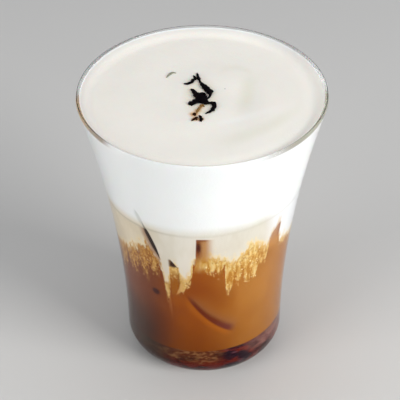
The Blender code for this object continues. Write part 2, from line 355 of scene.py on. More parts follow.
def glass_finish():
    """Clear glass with faint smears, and a lip painted with a golden refraction of the drink at the left and
    an olive one at the right.

    Lamps shine straight through it onto the drink.
    """
    shader = {"Transmission Weight": 1.0, "IOR": 1.48, "Specular Tint": (0.2, 0.2, 0.2, 1.0)}
    make = Finish("clear_glass", shader)
    clear = make.blend((253, 254, 253), (249, 252, 251), make.clouds(0.03))
    # Painted refraction: the lip takes the drink's colours, golden at the left and olive at the right.
    gold_refraction = make.blend((168, 112, 6), (110, 76, 28), make.angle.between(-74.0, -58.0))
    olive_refraction = make.blend((92, 70, 50), (100, 95, 62), make.angle.between(36.0, 54.0))
    lip = make.z.between(110.2, 111.2) * 0.9
    make.colour(make.over(
        clear,
        (gold_refraction, make.angle.within(-96.0, -84.0, -52.0, -43.0) * lip),
        (olive_refraction, make.angle.within(18.0, 46.0, 86.0, 100.0) * lip),
    ))
    make.rough(make.clouds(0.02, stretch=(1.0, 1.0, 3.0)).between(0.45, 0.8, 0.0, 0.03))
    coated = Wire(make, make.shader.outputs[0])
    straight = make.node("ShaderNodeBsdfTransparent")
    shadow = make.node("ShaderNodeLightPath", output="Is Shadow Ray")
    mixed = make.node("ShaderNodeMixShader", sockets={0: shadow, 1: coated, 2: straight})
    make.feed(make.tree.nodes["Material Output"].inputs["Surface"], mixed)
    return make.material


def spot(make, x, y, reach):
    """1 at a place on the foam's top, in millimetres, falling to 0 at its reach."""
    return distance(make.x - x, make.y - y).between(reach, reach * 0.25)


def gap(make, start, end, width, softness=0.7):
    """1 along a narrow tapered gap from start to end, as (angle, height): its left side is soft."""
    (first_angle, first_height), (last_angle, last_height) = start, end
    along = (make.z - first_height) / (last_height - first_height)
    aside = make.angle - along * (last_angle - first_angle) - first_angle
    reach = along.within(-0.05, 0.35, 0.6, 1.08) * width
    left_side = (aside + reach * 1.3).between(-softness, softness)
    right_side = (reach - aside).between(-0.15, 0.3)
    return left_side * right_side * reach.between(0.0, 0.3)


def slit(make):
    """The long dark slit between two ice cubes at the left."""
    return gap(make, (-37.7, 76.8), (-28.1, 59.2), 1.45)


def foam_fold_shading(make, white, on_top):
    """Painted shade in soft folds to the right of the leaves, an upright one and a curved crease, and a
    painted highlight on a ridge above them.
    """
    drift = (make.clouds(0.03) - 0.5) * 16.0
    fold_shade = (make.x - 15.4 - drift * 0.15 - make.y * 0.14).size().between(5.0, 0.0)
    fold_shade = fold_shade * make.y.within(-13.0, 1.0, 8.0, 18.0)
    arc = (distance(make.x - 11.6, make.y - 14.4) - 5.8).size().between(3.0, 0.0)
    fold_shade = fold_shade.most(arc * make.y.between(12.0, 19.0) * make.x.between(4.0, 11.0) * 0.5)
    along = make.x - 18.2
    bend = along * 0.61 + along ** 2.0 * 0.019 - 20.7
    crease = (make.y - bend - drift * 0.1).size().between(6.0, 0.0)
    crease = crease * make.x.within(0.0, 14.0, 26.0, 37.0)
    ridge = (make.y + 12.4 - (make.x - 12.0) * 0.4).size().between(3.4, 0.2)
    ridge = ridge * make.x.within(2.0, 10.0, 18.0, 30.0)
    # The folds and the crease take painted shade, and the ridge a painted highlight.
    return make.over(
        white,
        ((228, 226, 206), fold_shade.most(crease * 0.7) * on_top * 0.5),
        ((252, 250, 246), ridge * on_top * 0.5),
    )


def foam_stains(make, colour, on_top):
    """A warm halo round the leaves, a tan stain under the stalk and crumbs, and one grey speck."""
    halo = distance((make.x + 0.8) / 6.5, (make.y - 1.0) / 13.0).between(1.2, 0.6)
    stain = spot(make, -2.9, -9.4, 2.6)
    for x, y, reach, strength in (
        (-1.6, -7.0, 2.0, 0.8), (-0.7, -5.0, 1.8, 0.7), (-2.6, -12.2, 2.0, 1.0), (-0.7, -12.4, 1.9, 1.0),
    ):
        stain = stain.most(spot(make, x, y, reach) * strength)
    mottled = make.clouds(0.0012, detail=3.0).between(0.3, 0.7, 0.55, 1.0)
    return make.over(
        colour,
        ((240, 230, 209), halo * on_top * 0.55),
        ((232, 166, 88), stain * mottled * on_top),
        ((168, 166, 156), spot(make, 8.2, 6.6, 0.45) * on_top * 0.7),
    )


def foam_rise(make, colour, from_wall, on_top):
    """The foam's rise at the wall: shaded at the left and the back, brighter at the right."""
    leftwards = make.y * 0.57 - make.x * 0.82
    climb = make.z.between(109.2, 110.8) * leftwards.between(-38.0, -27.0)
    shade = make.blend((226, 223, 222), (206, 204, 201), leftwards.between(5.0, 32.0))
    beside = from_wall.between(5.0, 2.0) * leftwards.between(10.0, 30.0)
    bright = from_wall.between(9.0, 3.0) * leftwards.between(-14.0, -32.0)
    return make.over(
        colour,
        (shade, climb * on_top * 0.6),
        ((224, 220, 215), beside * on_top * 0.5),
        ((255, 252, 243), bright * on_top),
    )


def foam_finish():
    """Thick milk foam: nearly white and faintly mottled, with the cream showing through at its foot."""
    make = Finish("milk_foam", {"Roughness": 0.6, "Subsurface Weight": 0.12, "Subsurface Scale": 0.004})
    mottle = make.clouds(0.012, detail=3.0)
    wall_near_rim = 12.67 + make.z * 0.28
    from_wall = wall_near_rim - distance(make.x, make.y)
    on_top = make.z.between(106.0, 108.5) * from_wall.between(0.1, 0.6)
    # Painted glints: small bright specks scattered over the foam.
    glint_specks = make.cells(0.0075, seed=2.0).between(0.055, 0.035) * mottle.between(0.45, 0.55)
    top = make.blend((249, 245, 237), (244, 240, 231), mottle)
    white = make.over((244, 245, 246), ((239, 240, 240), mottle), ((255, 255, 255), glint_specks), (top, on_top))
    colour = foam_stains(make, foam_fold_shading(make, white, on_top), on_top)
    colour = foam_rise(make, colour, from_wall, on_top)
    above_cream = make.z - make.x * CREAM_SLOPE - CREAM_TOP * 1000.0
    make.colour(make.over(
        colour,
        (cream_colour(make), above_cream.between(5.4, -0.6)),
        # Painted shade along the foam's foot where it meets the cream, stronger to the left.
        ((176, 168, 146), above_cream.between(1.4, 0.0) * make.x.between(0.0, -24.0, 0.15, 0.6)),
        ((150, 150, 140), gap(make, (-41.0, 82.0), (-36.8, 73.6), 1.4, 1.2) * 0.35),
        ((52, 40, 34), slit(make) * 0.6),
    ))
    bubbles = make.cells(0.0011).between(0.0, 0.5)
    make.relief(bubbles * 0.3 + make.clouds(0.005, detail=3.0), 0.0003, 0.35)
    return make.material


def froth_colour(make, fine, streaks):
    """Froth stained by the tea: pale yellow streaks in tan, with painted shade that makes it darker and
    browner to the left.
    """
    lit = make.over(
        (184, 128, 48),
        ((208, 166, 88), streaks.between(0.36, 0.52)),
        ((226, 204, 144), streaks.between(0.50, 0.68)),
        ((178, 122, 46), fine.between(0.46, 0.32) * 0.6),
    )
    clotted = streaks * 0.55 + fine * 0.45
    shaded = make.over(
        (158, 100, 36),
        ((192, 138, 58), clotted.between(0.40, 0.56)),
        ((204, 158, 84), fine.between(0.50, 0.72) * 0.55),
    )
    return make.blend(shaded, lit, make.x.between(-20.0, -10.0))


def cream_colour(make):
    """Clean cream: warmer to the left, whiter at the far right, with soft upright streaks of tone."""
    mottle = make.clouds(0.006, stretch=(1.0, 1.0, 2.2), detail=2.0).between(0.35, 0.65)
    left = make.blend((229, 217, 196), (220, 207, 184), mottle)
    middle = make.blend((228, 222, 212), (222, 215, 202), mottle)
    right = make.blend((219, 214, 203), (214, 207, 194), mottle)
    return make.over(
        left,
        (middle, make.x.between(-24.0, -12.0)),
        (right, make.x.between(-4.0, 14.0)),
        ((236, 237, 240), make.x.between(20.0, 27.0)),
    )


def ice_edge(make, colour):
    """An ice cube's rounded corner pressed on the glass: a curved line of painted shade, soft on its inner
    side, with painted light outside it.
    """
    across = make.angle * TEA_DEGREE - 32.6
    above = make.z - 59.0
    away = distance(across, above) - 41.6
    turn = above.sum("ARCTAN2", across) * math.degrees(1.0)
    ends = turn.within(-160.0, -149.0, -126.0, -120.0)
    width = turn.between(-155.0, -127.0, 0.6, 1.2)
    halo = away.between(0.8, 0.0) * away.between(width * -5.5, width * -1.5)
    edge = away.between(width * 1.2, width * 0.4) * away.between(width * -2.8, width * -0.4)
    shade = make.blend((98, 30, 4), (104, 44, 38), turn.between(-136.0, -126.0))
    # The edge and the halo inside it are painted shade, and the glow outside is painted light.
    return make.over(
        colour,
        ((172, 116, 52), away.within(-9.0, -1.0, -0.8, 0.3) * ends * 0.35),
        ((178, 98, 10), away.within(0.4, 1.2, 1.6, 4.2) * ends * 0.55),
        ((126, 82, 58), halo * ends * 0.4),
        (shade, edge * ends * 0.9),
    )


def tea_colour(make):
    """Milky tea: amber, redder to the left and below, with painted shade to the left and low at the front
    left, and the marks of the ice on the glass.
    """
    mottle = make.clouds(0.016, stretch=(1.0, 1.0, 1.6), detail=3.0).between(0.3, 0.7)
    # The left, middle and right tones are partly the tea's own, with more milk to the right, and partly
    # painted light: shade to the left, light to the right.
    left = make.blend((130, 66, 20), (114, 50, 8), mottle)
    middle = make.blend((152, 78, 4), (138, 64, 0), mottle)
    right = make.blend((178, 120, 44), (166, 106, 30), mottle)
    low = make.z.between(38.0, 12.0) * make.x.between(18.0, -4.0, 0.3, 1.0)
    # Painted shade, low at the front left.
    low_left_shade = make.x.between(-10.0, -23.0) * make.z.between(42.0, 18.0) * make.y.between(8.0, -8.0)
    colour = make.over(
        left,
        (middle, make.x.between(-21.0, -6.0)),
        (right, make.x.between(-5.0, 22.0)),
        ((98, 42, 0), low * 0.6),
        ((50, 22, 4), low_left_shade * 0.85),
    )
    trickle = (make.angle + 24.2 + (make.z - 40.0) * 0.05).size().between(1.3, 0.3)
    dot = distance((make.angle + 35.2) * 0.5, make.z - 41.0)
    warmth = distance((make.angle + 19.5) / 6.0, (make.z - 39.5) / 5.0)
    return make.over(
        ice_edge(make, colour),
        ((196, 128, 66), trickle * make.z.within(28.0, 40.0, 42.0, 46.0) * 0.35),
        ((56, 6, 0), dot.between(2.2, 0.8) * 0.9),
        ((166, 88, 6), warmth.between(1.1, 0.2) * 0.55),
    )


def middle_channel(make, colour, froth):
    """The gap between two ice cubes at the front, seen as a brown channel in the cream."""
    core = distance((make.angle + 3.3) / 2.1, (make.z - 68.8) / 3.8)
    inside = make.over(
        (196, 146, 76),
        ((182, 134, 84), make.z.between(61.0, 66.0)),
        ((140, 80, 38), make.angle.between(0.4, -3.6) * make.z.between(58.0, 66.0)),
        ((74, 22, 4), core.between(1.2, 0.2)),
        ((120, 60, 34), make.z.between(71.4, 72.9) * make.angle.between(4.0, 0.0) * 0.7),
        (froth, make.z.between(65.0, 60.0) * make.angle.between(-3.0, 0.0, 0.4, 1.0)),
    )
    lean = (make.z - 65.0).most(0.0) * 0.08 - (61.0 - make.z).most(0.0) * 0.3
    left_side = (make.angle + 5.2 - lean).between(-0.3, 0.5)
    channel = left_side * make.angle.between(6.8, 0.2) * make.z.between(73.5, 72.9)
    return make.blend(colour, inside, channel * make.z.between(54.0, 60.0))


def drip_notch(make, colour, tea, fine):
    """The brown notch between the two long drips at the left, under a slanting hollow darkened by painted
    shade.

    The right drip leans to the left at its tip and closes the notch from below.
    """
    height = make.z + (fine - 0.5) * 2.4
    lower_edge = make.angle * 0.56 + 53.0
    upper_edge = make.angle * 1.7 + 75.5
    below = (lower_edge - height).between(-0.5, 0.7) * make.angle.within(-20.8, -19.8, -9.6, -8.4)
    inside = make.over(
        (158, 92, 14),
        ((206, 162, 92), height.between(50.0, 56.0)),
        ((232, 202, 132), fine.between(0.5, 0.62) * make.z.between(48.0, 55.0) * 0.6),
        ((118, 72, 24), make.angle.between(-18.2, -16.6) * make.z.between(56.5, 53.0) * 0.5),
    )
    notch = make.angle.within(-23.4, -21.9, -16.7, -15.7)
    notch = notch * make.z.between(57.8, 57.0) * height.between(41.0, 43.5)
    pale = make.blend((196, 130, 56), (214, 172, 104), make.angle.between(-20.0, -16.0))
    strand = (upper_edge - height).between(-0.5, 0.9) * (height - lower_edge).between(-0.5, 0.5)
    strand = strand * make.angle.within(-21.2, -19.6, -15.0, -13.0)
    # The hollow's darkening is painted shade, darkest at its core.
    core = distance((make.angle + 19.9) / 2.0, (make.z - 58.5) / 1.5)
    shade = make.blend((112, 82, 50), (46, 16, 6), core.between(1.3, 0.5))
    slope = 60.7 - (make.angle + 21.0) * 0.84
    hollow = make.angle.between(-23.6, -21.8) * make.z.within(56.4, 57.4, 60.0, 61.2)
    hollow = hollow * (slope - make.z).between(-0.1, 0.5)
    return make.over(colour, (tea, below), (inside, notch), (pale, strand * 0.9), (shade, hollow))


def drip_sides(make, colour, above_edge, fine):
    """Froth along the sides of the two long drips, and past the outer side of the left one."""
    beside = make.angle.within(-29.6, -28.6, -7.0, -5.6) * make.z.between(64.0, 57.0)
    beside = beside * above_edge.within(-0.8, 0.8, 2.0, 9.0)
    outside = make.angle.within(-32.0, -30.0, -26.0, -24.5) * make.z.between(66.0, 57.0)
    outside = outside * above_edge.within(-9.0, -0.5, 0.0, 0.8)
    return make.over(
        colour,
        ((226, 192, 122), beside * fine.between(0.38, 0.60) * 0.65),
        ((186, 132, 66), outside * fine.between(0.36, 0.60) * 0.7),
    )


def tea_finger(make, colour):
    """The tea's tall finger between the drips at the right."""
    finger = make.angle.within(43.0, 46.5, 52.2, 53.2) * make.z.between(57.0, 62.0)
    finger = finger * (71.0 - (make.angle - 51.5).size() * 0.6 - make.z).between(-0.4, 1.4)
    brown = make.angle.between(49.0, 52.6) * make.z.between(61.0, 66.0)
    tall = make.over(
        (192, 134, 66),
        ((176, 130, 96), make.z.between(60.0, 68.0)),
        ((128, 72, 40), brown * 0.8),
    )
    return make.blend(colour, tall, finger * 0.9)


def wall_colour(make):
    """What shows through the glass between the foam and the dark layer, by angle and height."""
    fine = make.clouds(0.0009, stretch=(1.0, 1.0, 1.6), detail=1.0, seed=2.0)
    streaks = make.clouds(0.0015, stretch=(1.0, 1.0, 4.0), detail=2.0, seed=5.0)
    above_edge, below_line = make.mark("above_edge"), make.mark("below_froth_line")
    leftness = make.x.between(-12.0, -17.0)
    froth, tea = froth_colour(make, fine, streaks), tea_colour(make)

    uneven = above_edge + (fine - 0.5) * (5.0 + leftness * 6.0) + (streaks - 0.5) * (8.0 + leftness)
    softness = leftness * 2.5
    drops = fine.between(0.58, 0.66) * above_edge.between(-7.0, -0.5) * streaks.between(0.46, 0.56)
    stained = make.over(
        tea,
        (froth, uneven.between(-1.8 - softness, 2.2 + softness)),
        ((232, 194, 118), drops * (0.7 - leftness * 0.35)),
    )
    reach = below_line + (fine - 0.5) * 5.0 + (streaks - 0.5) * 12.0
    at_finger = make.angle.within(41.5, 44.5, 52.5, 53.5)
    colour = make.over(
        cream_colour(make),
        # Painted shade on the cream just under the foam.
        ((204, 198, 184), make.mark("below_foam").between(1.0, 0.0) * 0.35),
        ((238, 220, 174), reach.between(-4.0, 0.5) * (1.0 - at_finger) * 0.8),
        (stained, reach.between(-1.6 - at_finger * 3.0, 2.0 + at_finger * 3.0)),
    )
    colour = tea_finger(make, drip_sides(make, colour, above_edge, fine))
    colour = make.over(
        drip_notch(make, colour, tea, fine),
        ((150, 106, 78), gap(make, (-39.2, 76.0), (-28.4, 57.2), 2.4, 2.6) * 0.8),
        ((34, 10, 2), slit(make)),
    )
    return middle_channel(make, colour, froth)


def cream_finish():
    """Cream and its drips, with froth where they meet the tea."""
    make = Finish("cream", {"Roughness": 0.5, "Specular IOR Level": 0.0})
    make.colour(wall_colour(make))
    make.relief(make.clouds(0.0011, stretch=(1.0, 1.0, 2.4), detail=3.0, seed=2.0), 0.0002, 0.3)
    return make.material


def tea_finish():
    """Milky tea against the glass, with the last of the froth along its top."""
    make = Finish("milk_tea", {"Roughness": 0.5, "Specular IOR Level": 0.0})
    make.colour(wall_colour(make))
    make.relief(make.clouds(0.016, detail=3.0), 0.0003, 0.15)
    return make.material


def syrup_finish():
    """The settled layer: marbled maroon and near-black, with a brown veil along its top and painted shade
    darkening it to the left.
    """
    make = Finish("dark_layer", {"Roughness": 0.4, "Specular IOR Level": 0.0})
    swirl = make.clouds(0.0045, stretch=(1.4, 1.4, 0.6), detail=3.0)
    patches = make.clouds(0.007, stretch=(1.0, 1.0, 0.45), detail=2.0, seed=4.0)
    speckle = make.clouds(0.0015, stretch=(1.3, 1.3, 0.8), detail=3.0, seed=8.0)
    below_tea = make.mark("below_tea")
    purple = make.x.within(4.0, 9.0, 14.0, 22.0)
    veil = (below_tea + (swirl - 0.5) * 5.0).between(7.5, 3.0) * make.x.between(9.0, 3.0)
    mottled = make.blend((84, 42, 16), (140, 98, 58), speckle.between(0.42, 0.62))
    haze = (below_tea + (swirl - 0.5) * 9.0 - make.x * 0.3).between(2.0, -3.0) * make.x.between(12.0, 22.0)
    cloudy = make.blend((136, 94, 84), (100, 58, 56), patches.between(0.4, 0.62))
    # Painted shade for the left side of the layer.
    left_shade = make.blend((30, 18, 8), (58, 34, 18), swirl.between(0.4, 0.6))
    make.colour(make.over(
        (100, 14, 0),
        ((48, 2, 0), swirl.between(0.44, 0.6)),
        ((104, 42, 16), patches.between(0.56, 0.7) * 0.7),
        ((26, 0, 18), purple * swirl.between(0.40, 0.54)),
        ((110, 64, 74), purple * patches.between(0.58, 0.68) * 0.7),
        (mottled, veil * swirl.between(0.66, 0.42, 0.4, 0.85)),
        (cloudy, haze * 0.85),
        (left_shade, make.x.between(-9.0, -20.0) * 0.85),
    ))
    make.relief(patches, 0.0004, 0.2)
    return make.material


def leaf_finish(name, dark, light, roughness):
    """Dry rolled leaf: fine grain and lighter worn ridges."""
    make = Finish(name, {"Roughness": roughness, "Specular IOR Level": 0.03})
    grain = make.clouds(0.0005, detail=4.0)
    blotch = make.clouds(0.0016, detail=2.0, seed=3.0)
    make.colour(make.blend(dark, light, (grain * 0.6 + blotch * 0.4).between(0.48, 0.72)))
    make.relief(grain, 0.0002, 0.6)
    return make.material


def bubble_finish():
    """The froth's larger bubbles: cream shells tinted by the tea."""
    make = Finish("froth_bubble", {"Roughness": 0.4, "Specular IOR Level": 0.1})
    tint = make.clouds(0.0028, detail=2.0).between(0.4, 0.62)
    lit = make.blend((236, 216, 160), (206, 160, 90), tint)
    shaded = make.blend((206, 168, 106), (166, 112, 54), tint)
    make.colour(make.blend(shaded, lit, make.x.between(-18.0, -4.0)))
    return make.material


def floor_finish():
    make = Finish("pale_floor", {"Roughness": 0.55})
    make.colour(make.blend((214, 213, 211), (209, 208, 206), make.clouds(0.2, detail=3.0)))
    return make.material


# Shapes

def smooth(share):
    share = min(max(share, 0.0), 1.0)
    return share * share * (3.0 - 2.0 * share)


def outer_radius(height):
    """The glass outside: a round heel, then a flare that opens by a power of the height."""
    if height >= HEEL_ROUND:
        share = (height - HEEL_ROUND) / (GLASS_HEIGHT - HEEL_ROUND)
        return HEEL_RADIUS + (RIM_RADIUS - HEEL_RADIUS) * share**FLARE_POWER
    return HEEL_RADIUS - HEEL_ROUND + math.sqrt(HEEL_ROUND**2 - (HEEL_ROUND - height) ** 2)


def drink_radius(height):
    """Just inside the glass's wall, with the smaller round at its floor."""
    top_of_round = FLOOR_HEIGHT + INNER_ROUND
    if height >= top_of_round:
        return outer_radius(height) - WALL + REACH
    drop = top_of_round - max(height, FLOOR_HEIGHT)
    inner = outer_radius(top_of_round) - WALL - INNER_ROUND
    return inner + math.sqrt(INNER_ROUND**2 - drop**2) + REACH


def put(name, data):
    """A new object in the scene, at the origin."""
    made = bpy.data.objects.new(name, data)
    bpy.context.collection.objects.link(made)
    return made


def steps(low, high, count):
    """count numbers from low to high, both ends among them."""
    return [low + (high - low) * step / (count - 1) for step in range(count)]


def on_wall(angle, height):
    radius = drink_radius(height)
    turn = math.radians(angle)
    return Vector((radius * math.sin(turn), -radius * math.cos(turn), height))


def angles():
    return [360.0 * column / DRINK_SEGMENTS for column in range(DRINK_SEGMENTS)]


def slanted_height(middle, slope, angle):
    """The height at the wall of a layer whose top rises gently towards +X."""
    height = middle
    for _ in range(4):
        height = middle + slope * drink_radius(height) * math.sin(math.radians(angle))
    return height


def slanted_ring(middle, slope):
    """The height of a slanted layer's top at each point round the wall."""
    return [slanted_height(middle, slope, angle) for angle in angles()]


def hub(height):
    """A ring of one point on the axis, where a solid's rings start or end."""
    return [Vector((0.0, 0.0, height))]


def signed(angle):
    return (angle + 180.0) % 360.0 - 180.0


def share_of_width(angle, middle, left_width, right_width):
    """0 at a drip's middle and 1 at its side."""
    apart = signed(angle - middle)
    return apart / right_width if apart > 0.0 else -apart / left_width


def back_drips():
    """The drips on the side that doesn't show, by the same habit and the same sizes."""
    draw = random.Random(BACK_SEED)
    drips, tongues = [], []
    angle = BACK_START
    while angle < BACK_END:
        width = draw.uniform(*BACK_WIDTHS)
        drips.append((angle, width, width, draw.uniform(*BACK_TIPS)))
        angle += width * draw.uniform(*BACK_STEPS)
        if draw.random() < BACK_TONGUE_CHANCE:
            tongues.append((angle, *BACK_TONGUE_SIDES, draw.uniform(*BACK_TONGUE_TOPS)))
    return drips, tongues


def ragged(angle):
    """The edge's own unevenness: narrow streaks, drawn from noise on a circle so that it closes."""
    turn = math.radians(angle)
    around = Vector((math.sin(turn), math.cos(turn), 0.0))
    (coarse, coarse_count), (fine, fine_count) = COARSE_STREAKS, FINE_STREAKS
    height = coarse * noise.noise(around * coarse_count)
    return height + fine * noise.noise(around * fine_count + Vector((0.0, 0.0, 5.0)))


def cream_edge(angle, drips, tongues):
    """The height of the cream's lower edge at the wall."""
    height = CREAM_ROOT
    for middle, left_width, right_width, tip in drips:
        share = share_of_width(angle, middle, left_width, right_width)
        if share < 1.0:
            height = min(height, tip + (CREAM_ROOT - tip) * share**DRIP_POWER)
    height += ragged(angle)
    for middle, left_width, right_width, top in tongues:
        share = share_of_width(angle, middle, left_width, right_width)
        if share < 1.0:
            height = max(height, top - (top - height) * share**TONGUE_POWER)
    return height


def froth_line(angle, edge):
    """The height at which clean cream turns to froth, in millimetres."""
    place = signed(angle)
    for (first, low), (last, high) in zip(FROTH_LINE, FROTH_LINE[1:]):
        if first <= place < last:
            return low + (high - low) * (place - first) / (last - first)
    return edge * 1000.0 + BACK_FROTH_DEPTH


def lace(points, faces, rings):
    """Add the faces of a closed solid over a row of rings that starts and ends in one point."""
    starts = []
    for ring in rings:
        starts.append(len(points))
        points += ring
    for low, high, lower, upper in zip(starts, starts[1:], rings, rings[1:]):
        count = max(len(lower), len(upper))
        for i in range(count):
            j = (i + 1) % count
            if len(lower) == 1:
                faces.append((low, high + j, high + i))
            elif len(upper) == 1:
                faces.append((low + i, low + j, high))
            else:
                faces.append((low + i, low + j, high + j, high + i))


def skin(name, solids, look, marks=None, cut_angle=50.0):
    """A piece made of one or more closed solids, each given as a row of rings.

    marks gives, for each name, one list of numbers for each ring.
    """
    points, faces = [], []
    for rings in solids:
        lace(points, faces, rings)
    mesh = bpy.data.meshes.new(name)
    mesh.from_pydata(points, [], faces)
    for mark, values in (marks or {}).items():
        flat = [value for ring in values for value in ring]
        mesh.attributes.new(mark, "FLOAT", "POINT").data.foreach_set("value", flat)
    mesh.materials.append(look)
    mesh.shade_smooth()
    mesh.set_sharp_from_angle(angle=math.radians(cut_angle))
    return put(name, mesh)


def drip_surface(edges):
    """The rings where cream meets tea, from the middle out to the wall."""
    rings = [hub(CREAM_MIDDLE)]
    for share in SURFACE_SHARES:
        bent = smooth((share - LEVEL_SHARE) / BEND_SHARE)
        ring = []
        for angle, edge in zip(angles(), edges):
            wall = on_wall(angle, edge)
            height = CREAM_MIDDLE + (edge - CREAM_MIDDLE) * bent
            ring.append(Vector((wall.x * share, wall.y * share, height)))
        rings.append(ring)
    return rings


def wall_between(lows, highs, count):
    """The rings strictly between two heights that change round the wall."""
    rings = []
    for share in steps(0.0, 1.0, count + 1)[1:-1]:
        rings.append([
            on_wall(angle, low + (high - low) * share)
            for angle, low, high in zip(angles(), lows, highs)
        ])
    return rings


def wall_ring(heights):
    return [on_wall(angle, height) for angle, height in zip(angles(), heights)]


def wall_marks(rings, edges):
    """For each point, how far it is above the cream's edge, below the froth line and below the foam."""
    lines = [froth_line(angle, edge) for angle, edge in zip(angles(), edges)]
    tops = slanted_ring(CREAM_TOP, CREAM_SLOPE)
    marks = {"above_edge": [], "below_froth_line": [], "below_foam": []}
    for ring in rings:
        whole = ring * len(edges) if len(ring) == 1 else ring
        above_edge = [(point.z - edge) * 1000.0 for point, edge in zip(whole, edges)]
        below_line = [line - point.z * 1000.0 for point, line in zip(whole, lines)]
        below_foam = [(top - point.z) * 1000.0 for point, top in zip(whole, tops)]
        marks["above_edge"].append(above_edge[: len(ring)])
        marks["below_froth_line"].append(below_line[: len(ring)])
        marks["below_foam"].append(below_foam[: len(ring)])
    return marks


def make_cream(edges, look):
    tops = slanted_ring(CREAM_TOP, CREAM_SLOPE)
    rings = drip_surface(edges) + wall_between(edges, tops, WALL_ROWS)
    rings += [wall_ring(tops), hub(CREAM_TOP)]
    return skin("cream_and_drips", [rings], look, wall_marks(rings, edges))


def make_tea(edges, look):
    floors = slanted_ring(SYRUP_TOP, SYRUP_SLOPE)
    rings = [hub(SYRUP_TOP), wall_ring(floors)]
    rings += wall_between(floors, edges, WALL_ROWS) + drip_surface(edges)[::-1]
    return skin("tea_body", [rings], look, wall_marks(rings, edges))


def make_syrup(look):
    tops = slanted_ring(SYRUP_TOP, SYRUP_SLOPE)
    rings = [hub(FLOOR_HEIGHT - REACH)]
    for share in steps(0.0, 1.0, SYRUP_ROWS):
        heights = [FLOOR_HEIGHT + (top - FLOOR_HEIGHT) * share**2 for top in tops]
        rings.append(wall_ring(heights))
    rings.append(hub(SYRUP_TOP))
    for point in rings[1]:
        point.z -= REACH
    below_tea = []
    for ring in rings:
        at_wall = [(top - point.z) * 1000.0 for point, top in zip(ring, tops)]
        below_tea.append(at_wall if len(ring) > 1 else [AXIS_DEPTH])
    return skin("settled_syrup", [rings], look, {"below_tea": below_tea})


def mound(x, y, middle, reach):
    """1 at a middle, falling away over a reach along each axis."""
    aside = (x - middle[0]) / reach[0]
    ahead = (y - middle[1]) / reach[1]
    return math.exp(-(aside**2 + ahead**2))


def foam_height(x, y):
    """The foam's top: a soft swirl, a dip and a ridge beside the leaves, and a rise at the wall."""
    reach = math.hypot(x, y)
    turn = math.atan2(y, x)
    swirl = 0.00012 * math.cos(2.0 * turn + 260.0 * reach)
    dip = -0.0005 * mound(x, y, (0.016, 0.001), (0.006, 0.009))
    ridge = 0.0003 * mound(x, y, (0.022, -0.001), (0.004, 0.010))
    wall = drink_radius(FOAM_TOP)
    climb = min(max(0.0, 1.0 - (wall - reach) / MENISCUS_WIDTH), 1.0)
    return FOAM_TOP + (swirl + dip + ridge) * (1.0 - climb) + MENISCUS_RISE * climb**MENISCUS_POWER


def make_foam(look):
    bottoms = slanted_ring(CREAM_TOP, CREAM_SLOPE)
    edge = FOAM_TOP + MENISCUS_RISE
    tops = [edge + 0.00015 * noise.noise(on_wall(angle, edge) * 60.0) for angle in angles()]
    rings = [hub(CREAM_TOP), wall_ring(bottoms)]
    rings += wall_between(bottoms, tops, FOAM_ROWS) + [wall_ring(tops)]
    wall = drink_radius(FOAM_TOP)
    radii = [wall - MENISCUS_WIDTH * share for share in steps(0.0, 1.0, RISE_ROWS)[1:]]
    radii += [(wall - MENISCUS_WIDTH) * share for share in steps(1.0, 0.0, TOP_ROWS)[1:-1]]
    for radius in radii:
        ring = []
        for angle in angles():
            turn = math.radians(angle)
            x, y = radius * math.sin(turn), -radius * math.cos(turn)
            ring.append(Vector((x, y, foam_height(x, y))))
        rings.append(ring)
    rings.append(hub(foam_height(0.0, 0.0)))
    return skin("foam_cap", [rings], look)


# The glass, turned by geometry nodes

class Shaping(Tree):
    """A geometry node group with named inputs."""

    def __init__(self, name, inputs):
        group = bpy.data.node_groups.new(name, "GeometryNodeTree")
        super().__init__(group)
        for label, kind, value in inputs:
            socket = group.interface.new_socket(label, in_out="INPUT", socket_type="NodeSocket" + kind)
            if value is not None:
                socket.default_value = value
        group.interface.new_socket("Geometry", in_out="OUTPUT", socket_type="NodeSocketGeometry")
        self.inputs = self.node("NodeGroupInput")

    def given(self, label):
        return self.inputs.output(label)

    def finish(self, geometry, look):
        """Realize what is instanced, give it its material, and end the tree there."""
        plain = self.node("GeometryNodeRealizeInstances", sockets={0: geometry})
        shaded = self.node("GeometryNodeSetShadeSmooth", sockets={0: plain})
        coated = self.node("GeometryNodeSetMaterial", sockets={"Geometry": shaded, "Material": look})
        end = self.tree.nodes.new("NodeGroupOutput")
        self.feed(end.inputs["Geometry"], coated)

    def point(self, x, y, z):
        return self.node("ShaderNodeCombineXYZ", sockets={"X": x, "Y": y, "Z": z})


def grown(name, shaping, base_mesh, settings):
    """A plain mesh piece made by a node group on a base mesh."""
    carrier = put(name, base_mesh)
    modifier = carrier.modifiers.new("Shaping", "NODES")
    modifier.node_group = shaping.tree
    for item in shaping.tree.interface.items_tree:
        if item.in_out == "INPUT" and item.name in settings:
            modifier[item.identifier] = settings[item.name]
    graph = bpy.context.evaluated_depsgraph_get()
    mesh = bpy.data.meshes.new_from_object(carrier.evaluated_get(graph), depsgraph=graph)
    carrier.modifiers.clear()
    carrier.data = mesh
    mesh.name = name
    return carrier


def turned_strip(tree, rows, profile):
    """A band of the turned shape; profile gives (radius, height) for t from 0 to 1."""
    grid = tree.node(
        "GeometryNodeMeshGrid",
        sockets={"Vertices X": rows + 1, "Vertices Y": tree.given("Segments") + 1.0},
    )
    flat = tree.node("ShaderNodeSeparateXYZ", sockets={0: tree.node("GeometryNodeInputPosition")})
    turn = (0.5 - flat.output("Y")) * math.tau
    radius, height = profile(flat.output("X") + 0.5)
    turned = tree.point(radius * turn.sum("SINE"), -(radius * turn.sum("COSINE")), height)
    return tree.node("GeometryNodeSetPosition", sockets={"Geometry": grid, "Position": turned})


